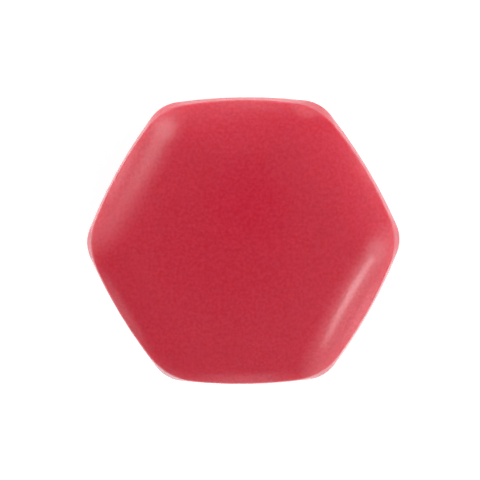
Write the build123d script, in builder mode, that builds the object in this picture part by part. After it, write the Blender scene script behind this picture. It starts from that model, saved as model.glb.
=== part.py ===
from build123d import *
from math import cos, radians, sin, tan
import os

# Hexagonal cap of a plastic snap fastener, moulded in one piece. Sizes are in millimetres and degrees.
# Z points out of the face, the back rim lies in the plane Z = 0 and two of the corners lie on the X axis.

# Outline of the rim: slightly bowed sides that meet in rounded corners
side_count = 6
across_flats = 12.0
side_bow = 0.26
corner_radius = 1.6

# Side wall: an upright land at the back, then a drafted stretch up to the foot of each facet.
# It aims at a shoulder outline with rounder corners, so it leans in most at the corners.
land_height = 0.1
facet_foot_height = 0.65
wall_draft_angle = 9
shoulder_height = 1.0
shoulder_corner_radius = 3.0
rim_edge_radius = 0.05

# Crown: facets that slope up from the sides and roll over into a shallow dome
head_height = 1.92
dome_radius = 32.0
facet_tilt_angle = 48
crown_blend_radius = 3.5
crown_edge_radius = 0.2

# Hollow back inside the rim
rim_width = 1.1
recess_depth = 0.55
recess_corner_radius = 0.6
recess_edge_radius = 0.25

# Prong that goes through the cloth
prong_diameter = 2.4
prong_reach = 4.5
point_length = 1.5
tip_diameter = 0.5
tip_edge_radius = 0.2
root_radius = 0.3

# Places that follow from these sizes
half_flats = across_flats / 2
side_angle = 360 / side_count
facet_foot_reach = half_flats - (facet_foot_height - land_height) * tan(radians(wall_draft_angle))
shoulder_reach = half_flats - (shoulder_height - land_height) * tan(radians(wall_draft_angle))
wall_middle = (land_height + shoulder_height) / 2
crown_base = Plane.XY.offset(-crown_blend_radius)
crown_base_drop = facet_foot_height + crown_blend_radius
crown_base_reach = facet_foot_reach + crown_base_drop / tan(radians(facet_tilt_angle))
prong_radius = prong_diameter / 2
point_start = point_length - prong_reach
land_top = Plane.XY.offset(land_height)
shoulder = Plane.XY.offset(shoulder_height)


def bowed_hexagon(half_width, rounding):
    """Outline with bowed sides at half_width from the centre and corners rounded by rounding."""
    corner_reach = (half_width - side_bow) / cos(radians(side_angle / 2))
    with BuildSketch() as outline:
        with BuildLine():
            for side in range(side_count):
                turn = side * side_angle
                ThreePointArc(
                    Vector(corner_reach, 0).rotate(Axis.Z, turn),
                    Vector(half_width, 0).rotate(Axis.Z, turn + side_angle / 2),
                    Vector(corner_reach, 0).rotate(Axis.Z, turn + side_angle),
                )
        make_face()
        fillet(outline.vertices(), rounding)
    return outline.sketch


def leans_in(face):
    """Whether a face belongs to the drafted wall: steeper than the facets, but not upright."""
    rise = face.normal_at().Z
    return sin(radians(wall_draft_angle)) / 2 < rise < cos(radians(facet_tilt_angle))


rim_outline = bowed_hexagon(half_flats, corner_radius)
shoulder_outline = bowed_hexagon(shoulder_reach, shoulder_corner_radius)
recess_outline = bowed_hexagon(half_flats - rim_width, recess_corner_radius)

# Crown surface: a blunt pyramid, topped by a sphere, with its mitres and creases softly blended.
# It starts below the head, so that the blends have room on the facets.
with BuildPart() as crown:
    with BuildSketch(crown_base):
        RegularPolygon(crown_base_reach, side_count, major_radius=False)
    extrude(amount=head_height + crown_blend_radius, taper=90 - facet_tilt_angle)
    with Locations((0, 0, head_height - dome_radius)):
        # Turned so that the sphere's poles and seam lie outside the crown
        Sphere(dome_radius, rotation=(0, 90, 0), mode=Mode.INTERSECT)
    mitres = crown.edges().filter_by(GeomType.LINE).filter_by(Plane.XY, reverse=True)
    creases = crown.faces().filter_by(GeomType.SPHERE).edges()
    fillet(mitres + creases, crown_blend_radius)

with BuildPart() as snap_cap:
    # Head: the land, the drafted wall and an upright stretch above the shoulder, all cut to the crown
    extrude(rim_outline, amount=land_height)
    with BuildSketch(land_top):
        add(rim_outline)
    with BuildSketch(shoulder):
        add(shoulder_outline)
    loft(ruled=True)
    with BuildSketch(shoulder):
        add(shoulder_outline)
    extrude(amount=head_height - shoulder_height)
    add(crown.part, mode=Mode.INTERSECT)
    drafted_wall = snap_cap.faces().filter_by(leans_in)
    crown_edges = drafted_wall.edges().filter_by_position(Axis.Z, wall_middle, shoulder_height)
    fillet(crown_edges, crown_edge_radius)

    # Hollow back, which leaves a level rim to bear on the cloth
    extrude(recess_outline, amount=recess_depth, mode=Mode.SUBTRACT)
    recess_ceiling = snap_cap.faces().filter_by(Axis.Z).sort_by(Axis.Z)[-1]
    fillet(recess_ceiling.edges(), recess_edge_radius)
    rim_face = snap_cap.faces().filter_by(Axis.Z).sort_by(Axis.Z)[0]
    fillet(rim_face.edges(), rim_edge_radius)

    # Prong on the axis, from the ceiling of the recess to its point
    with BuildSketch(Plane.XZ):
        with BuildLine():
            Polyline(
                (0, recess_depth),
                (prong_radius, recess_depth),
                (prong_radius, point_start),
                (tip_diameter / 2, -prong_reach),
                (0, -prong_reach),
                close=True,
            )
        make_face()
    revolve(axis=Axis.Z)
    prong_circles = snap_cap.edges().filter_by(GeomType.CIRCLE)
    fillet(prong_circles.sort_by(Axis.Z)[0], tip_edge_radius)
    recess_ceiling = snap_cap.faces().filter_by(Axis.Z).sort_by(Axis.Z)[-1]
    fillet(recess_ceiling.inner_wires()[0].edges(), root_radius)

os.makedirs("parts", exist_ok=True)
snap_cap.part.label = "snap_cap"
export_step(snap_cap.part, "parts/snap_cap.step")
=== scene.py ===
import math

import bpy
from mathutils import Matrix, Vector


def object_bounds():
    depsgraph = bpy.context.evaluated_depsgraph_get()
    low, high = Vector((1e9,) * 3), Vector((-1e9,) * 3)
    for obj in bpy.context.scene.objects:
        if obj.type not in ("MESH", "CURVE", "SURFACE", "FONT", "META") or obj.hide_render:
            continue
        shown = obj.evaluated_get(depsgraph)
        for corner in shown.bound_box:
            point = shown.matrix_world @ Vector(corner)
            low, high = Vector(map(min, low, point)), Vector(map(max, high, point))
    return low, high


# Looks of a hexagonal plastic snap fastener cap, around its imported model.
# Lengths are in metres, and angles of the light in degrees.
MM = 0.001

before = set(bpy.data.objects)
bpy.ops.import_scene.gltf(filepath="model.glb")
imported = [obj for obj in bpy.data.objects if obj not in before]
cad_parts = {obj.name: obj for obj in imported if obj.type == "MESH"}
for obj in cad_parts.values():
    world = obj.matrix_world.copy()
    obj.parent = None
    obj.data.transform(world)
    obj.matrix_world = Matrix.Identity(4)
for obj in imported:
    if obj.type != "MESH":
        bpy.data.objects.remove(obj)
CAD_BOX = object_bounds()

# Camera: nearly square on to the face, a little from above its top side
VIEW_TILT = math.radians(6.1)
VIEW_TOWARDS = math.radians(71)
VIEW_ROLL = math.radians(1.0)
VIEW_DISTANCE = 220 * MM
VIEW_TARGET = Vector((-0.116 * MM, 0.088 * MM, 0.5 * MM))
SENSOR_WIDTH = 36.0
PIXELS_ACROSS = 480
PIXELS_PER_METRE = 24.08 / MM
CLIP_FACTOR = 100

# Red resin: the two colours of its faint mottling, made of fine grain and soft clouds
DEEP_RED = (0.570, 0.0185, 0.0447, 1)
LIGHT_RED = (0.652, 0.0398, 0.0792, 1)
GRAIN_SIZE, GRAIN_DETAIL = 0.13 * MM, 2
CLOUD_SIZE, CLOUD_DETAIL = 2.5 * MM, 3
GRAIN_SHARE = 0.85
# Moulded surface: height of the grain and of a wider unevenness, and how much the gloss varies
PEEL_SIZE, PEEL_DETAIL = 0.9 * MM, 1
GRAIN_HEIGHT = 0.003 * MM
PEEL_HEIGHT = 0.002 * MM
ROUGHNESS_RANGE = (0.10, 0.15)
RESIN_IOR = 1.5
# Light under the surface: red goes furthest
SCATTER_DEPTH = 0.4 * MM
SCATTER_RADIUS = (2.5, 0.4, 0.3)
# Values of a noise that count as its lowest and highest
NOISE_LOW, NOISE_HIGH = 0.3, 0.7

# Floor: a plain white sheet that the point of the prong stands on
FLOOR_HALF_SIDE = 1.5
FLOOR_COLOUR = (0.85, 0.85, 0.85, 1)
FLOOR_GLOW = 0.48

# Light tent: soft light that is dim overhead and bright near the horizon.
# Each lean says towards which side the light is stronger.
TENT_COLOUR = (1, 1, 1, 1)
TENT_OVERHEAD = 0.375
TENT_OVERHEAD_LEAN = (0.447, 0.079, 0)
TENT_HORIZON = 1.5
TENT_HORIZON_LEAN = (0.1, 0.4, 0)
TENT_HORIZON_REACH = math.sin(math.radians(16.7))

# Soft lamps in the tent: azimuth, elevation, half angles at which the lamp starts to fade
# and is gone, radiance
LAMPS = {
    "right": (324.0, 35.9, 0.3, 6.4, 4.7),
    "right_wide": (337.9, 34.6, 3.8, 21.5, 1.32),
    "right_low": (331.8, 2.0, 24.3, 63.7, 1.5),
    "left": (137.7, 31.8, 0.4, 21.6, 2.20),
    "left_low": (142.7, 2.0, 21.4, 65.5, 1.4),
    "top": (71.1, 12.2, 15.2, 20.9, 1.3),
}

# Dark patches overhead, where the camera looks in: as for the lamps, but the last value is
# the share of the light that is missing
OPENINGS = {
    "camera": (128.7, 88.7, 5.4, 6.6, 0.98),
    "around": (236.8, 83.3, 6.8, 14.9, 0.5),
}


def add_camera():
    """Camera whose picture has the photograph's scale and viewing angle."""
    data = bpy.data.cameras.new("camera")
    data.sensor_width = SENSOR_WIDTH
    data.lens = PIXELS_PER_METRE * VIEW_DISTANCE * SENSOR_WIDTH / PIXELS_ACROSS
    data.clip_start = VIEW_DISTANCE / CLIP_FACTOR
    data.clip_end = VIEW_DISTANCE * CLIP_FACTOR
    camera = bpy.data.objects.new("camera", data)
    bpy.context.scene.collection.objects.link(camera)
    sideways = math.sin(VIEW_TILT)
    back = Vector((
        sideways * math.cos(VIEW_TOWARDS),
        sideways * math.sin(VIEW_TOWARDS),
        math.cos(VIEW_TILT),
    ))
    right = Vector((math.sin(VIEW_ROLL), math.cos(VIEW_ROLL), 0)).cross(back).normalized()
    up = back.cross(right)
    place = Matrix((right, up, back)).transposed().to_4x4()
    place.translation = VIEW_TARGET + back * VIEW_DISTANCE
    camera.matrix_world = place
    bpy.context.scene.camera = camera


def math_node(tree, operation, first, second):
    """Math node of a tree; each operand is a number or an output socket."""
    node = tree.nodes.new("ShaderNodeMath")
    node.operation = operation
    for socket, value in zip(node.inputs, (first, second)):
        if isinstance(value, (int, float)):
            socket.default_value = value
        else:
            tree.links.new(value, socket)
    return node.outputs[0]


def smooth_step(tree, value, start, end):
    """Output that goes smoothly from 0 at start to 1 at end."""
    node = tree.nodes.new("ShaderNodeMapRange")
    node.interpolation_type = "SMOOTHSTEP"
    tree.links.new(value, node.inputs["Value"])
    node.inputs["From Min"].default_value = start
    node.inputs["From Max"].default_value = end
    return node.outputs["Result"]


def dot_product(tree, direction, axis):
    """Output of the dot product of a direction and a fixed vector."""
    node = tree.nodes.new("ShaderNodeVectorMath")
    node.operation = "DOT_PRODUCT"
    tree.links.new(direction, node.inputs[0])
    node.inputs[1].default_value = axis
    return node.outputs["Value"]


def round_patch(tree, direction, azimuth, elevation, full, outer):
    """Output that is 1 around a direction, within one half angle, and fades to 0 at another."""
    level = math.cos(math.radians(elevation))
    axis = (
        level * math.cos(math.radians(azimuth)),
        level * math.sin(math.radians(azimuth)),
        math.sin(math.radians(elevation)),
    )
    nearness = dot_product(tree, direction, axis)
    edge, core = math.cos(math.radians(outer)), math.cos(math.radians(full))
    return smooth_step(tree, nearness, edge, core)


def leaning_light(tree, direction, radiance, lean):
    """Output of a radiance that is higher towards one side and lower towards the other."""
    share = math_node(tree, "ADD", dot_product(tree, direction, lean), 1)
    return math_node(tree, "MULTIPLY", share, radiance)


def add_tent():
    """World that lights the cap as a light tent with soft lamps does."""
    world = bpy.data.worlds.new("tent")
    bpy.context.scene.world = world
    world.use_nodes = True
    tree = world.node_tree
    direction = tree.nodes.new("ShaderNodeTexCoord").outputs["Generated"]
    height = dot_product(tree, direction, (0, 0, 1))
    lowness = smooth_step(tree, height, TENT_HORIZON_REACH, 0)
    overhead = leaning_light(tree, direction, TENT_OVERHEAD, TENT_OVERHEAD_LEAN)
    horizon = leaning_light(tree, direction, TENT_HORIZON, TENT_HORIZON_LEAN)
    light = math_node(tree, "ADD", math_node(tree, "MULTIPLY", lowness, horizon), overhead)
    for *place, radiance in LAMPS.values():
        lamp = math_node(tree, "MULTIPLY", round_patch(tree, direction, *place), radiance)
        light = math_node(tree, "ADD", light, lamp)
    for *place, missing in OPENINGS.values():
        shade = math_node(tree, "MULTIPLY", round_patch(tree, direction, *place), missing)
        light = math_node(tree, "MULTIPLY", light, math_node(tree, "SUBTRACT", 1, shade))
    background = tree.nodes["Background"]
    background.inputs["Color"].default_value = TENT_COLOUR
    tree.links.new(light, background.inputs["Strength"])


def floor_material():
    """White sheet that shows the shadow, with a glow that lifts it to white. It is clear from below."""
    material = bpy.data.materials.new("floor")
    material.use_nodes = True
    tree = material.node_tree
    tree.nodes.clear()
    sheet = tree.nodes.new("ShaderNodeBsdfDiffuse")
    sheet.inputs["Color"].default_value = FLOOR_COLOUR
    glow = tree.nodes.new("ShaderNodeEmission")
    path = tree.nodes.new("ShaderNodeLightPath")
    seen = math_node(tree, "MAXIMUM", path.outputs["Is Camera Ray"], path.outputs["Is Glossy Ray"])
    seen = math_node(tree, "MAXIMUM", seen, path.outputs["Is Transmission Ray"])
    strength = math_node(tree, "MULTIPLY", seen, FLOOR_GLOW)
    tree.links.new(strength, glow.inputs["Strength"])
    both = tree.nodes.new("ShaderNodeAddShader")
    tree.links.new(sheet.outputs[0], both.inputs[0])
    tree.links.new(glow.outputs[0], both.inputs[1])
    one_sided = tree.nodes.new("ShaderNodeMixShader")
    below = tree.nodes.new("ShaderNodeNewGeometry").outputs["Backfacing"]
    clear = tree.nodes.new("ShaderNodeBsdfTransparent")
    tree.links.new(below, one_sided.inputs["Fac"])
    tree.links.new(both.outputs[0], one_sided.inputs[1])
    tree.links.new(clear.outputs[0], one_sided.inputs[2])
    output = tree.nodes.new("ShaderNodeOutputMaterial")
    tree.links.new(one_sided.outputs[0], output.inputs["Surface"])
    return material


def add_floor():
    """Level floor at the lowest point of the cap."""
    half, height = FLOOR_HALF_SIDE, CAD_BOX[0][2]
    corners = [
        (-half, -half, height),
        (half, -half, height),
        (half, half, height),
        (-half, half, height),
    ]
    mesh = bpy.data.meshes.new("floor")
    mesh.from_pydata(corners, [], [(0, 1, 2, 3)])
    mesh.materials.append(floor_material())
    floor = bpy.data.objects.new("floor", mesh)
    bpy.context.scene.collection.objects.link(floor)


def noise(tree, place, feature_size, detail):
    """Noise from 0 to 1 whose largest features have about the given size."""
    node = tree.nodes.new("ShaderNodeTexNoise")
    tree.links.new(place, node.inputs["Vector"])
    node.inputs["Scale"].default_value = 1 / feature_size
    node.inputs["Detail"].default_value = detail
    return node.outputs["Fac"]


def spread(tree, value, low, high):
    """Output that turns the middle part of a noise into the range from low to high."""
    node = tree.nodes.new("ShaderNodeMapRange")
    tree.links.new(value, node.inputs["Value"])
    node.inputs["From Min"].default_value = NOISE_LOW
    node.inputs["From Max"].default_value = NOISE_HIGH
    node.inputs["To Min"].default_value = low
    node.inputs["To Max"].default_value = high
    return node.outputs["Result"]


def weighted_sum(tree, first, first_weight, second, second_weight):
    """Output of the sum of two values, each times its own weight."""
    first_part = math_node(tree, "MULTIPLY", first, first_weight)
    second_part = math_node(tree, "MULTIPLY", second, second_weight)
    return math_node(tree, "ADD", first_part, second_part)


def resin_colour(tree, grain, clouds):
    """Output of the resin's mottled red."""
    mottle = weighted_sum(tree, grain, GRAIN_SHARE, clouds, 1 - GRAIN_SHARE)
    colour = tree.nodes.new("ShaderNodeMix")
    colour.data_type = "RGBA"
    tree.links.new(spread(tree, mottle, 0, 1), colour.inputs["Factor"])
    colour.inputs["A"].default_value = DEEP_RED
    colour.inputs["B"].default_value = LIGHT_RED
    return colour.outputs["Result"]


def resin_relief(tree, grain, peel):
    """Output of the normal of the moulded surface. The relief is in metres already."""
    relief = weighted_sum(tree, grain, GRAIN_HEIGHT, peel, PEEL_HEIGHT)
    bump = tree.nodes.new("ShaderNodeBump")
    bump.inputs["Distance"].default_value = 1
    tree.links.new(relief, bump.inputs["Height"])
    return bump.outputs["Normal"]


def red_plastic():
    """Satin moulded resin with a fine grain, in which light scatters below the surface."""
    material = bpy.data.materials.new("red_plastic")
    material.use_nodes = True
    tree = material.node_tree
    shader = tree.nodes["Principled BSDF"]
    place = tree.nodes.new("ShaderNodeTexCoord").outputs["Object"]
    grain = noise(tree, place, GRAIN_SIZE, GRAIN_DETAIL)
    clouds = noise(tree, place, CLOUD_SIZE, CLOUD_DETAIL)
    peel = noise(tree, place, PEEL_SIZE, PEEL_DETAIL)
    roughness = spread(tree, grain, *ROUGHNESS_RANGE)
    tree.links.new(resin_colour(tree, grain, clouds), shader.inputs["Base Color"])
    tree.links.new(roughness, shader.inputs["Roughness"])
    tree.links.new(resin_relief(tree, grain, peel), shader.inputs["Normal"])
    shader.inputs["IOR"].default_value = RESIN_IOR
    shader.inputs["Subsurface Weight"].default_value = 1
    shader.inputs["Subsurface Radius"].default_value = SCATTER_RADIUS
    shader.inputs["Subsurface Scale"].default_value = SCATTER_DEPTH
    return material


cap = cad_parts["snap_cap"]
cap.data.materials.clear()
cap.data.materials.append(red_plastic())

add_floor()
add_tent()
add_camera()
bpy.context.scene.view_settings.view_transform = "Standard"
